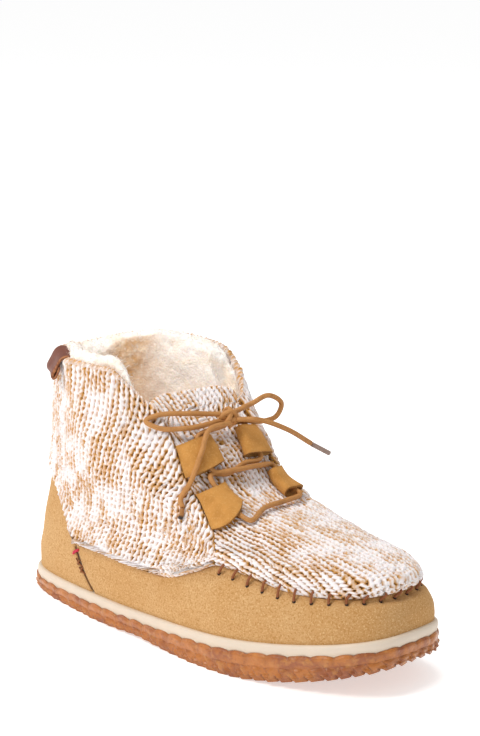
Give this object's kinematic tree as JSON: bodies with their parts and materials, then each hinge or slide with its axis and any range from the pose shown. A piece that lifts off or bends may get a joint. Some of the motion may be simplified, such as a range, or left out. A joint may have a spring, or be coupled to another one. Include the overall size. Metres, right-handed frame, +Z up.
{
  "type": "slipper bootie",
  "caption": "Ankle-high knitted slipper bootie for a right foot, with a suede foxing wall, fleece collar, laced tabs and a gum cup sole; open at the collar and hollow down to the insole.",
  "frame": {"origin": "on the floor, under the middle of the shoe's box without the loose lace", "axes": "+X towards the toe, +Y towards the inner (big toe) side, +Z up"},
  "size_m": [0.2668, 0.1129, 0.1534],
  "materials": {
    "knit": "chunky marled knit, white and tan",
    "suede": "fine napped suede",
    "gum": "satin gum rubber",
    "cream": "smooth cream foam rubber, satin",
    "fleece": "curly off-white pile",
    "lace": "waxed round leather cord",
    "label": "smooth brown leather",
    "aglet": "smooth sleeve"
  },
  "bodies": {
    "root": {"aglet_inner": "aglet", "aglet_outer": "aglet", "fleece_collar": "fleece", "heel_counter": "suede", "insole": "fleece", "lace_bow_inner": "lace", "lace_bow_outer": "lace", "lace_crossings": "lace", "lace_end_inner": "lace", "lace_end_outer": "lace", "lace_knot": "lace", "lace_tab_inner_high": "suede", "lace_tab_inner_low": "suede", "lace_tab_outer_high": "suede", "lace_tab_outer_low": "suede", "midsole": "cream", "outsole": "gum", "pull_tab": "label", "suede_wall": "suede", "tongue": "knit", "upper": "knit"}
  },
  "joints": []
}
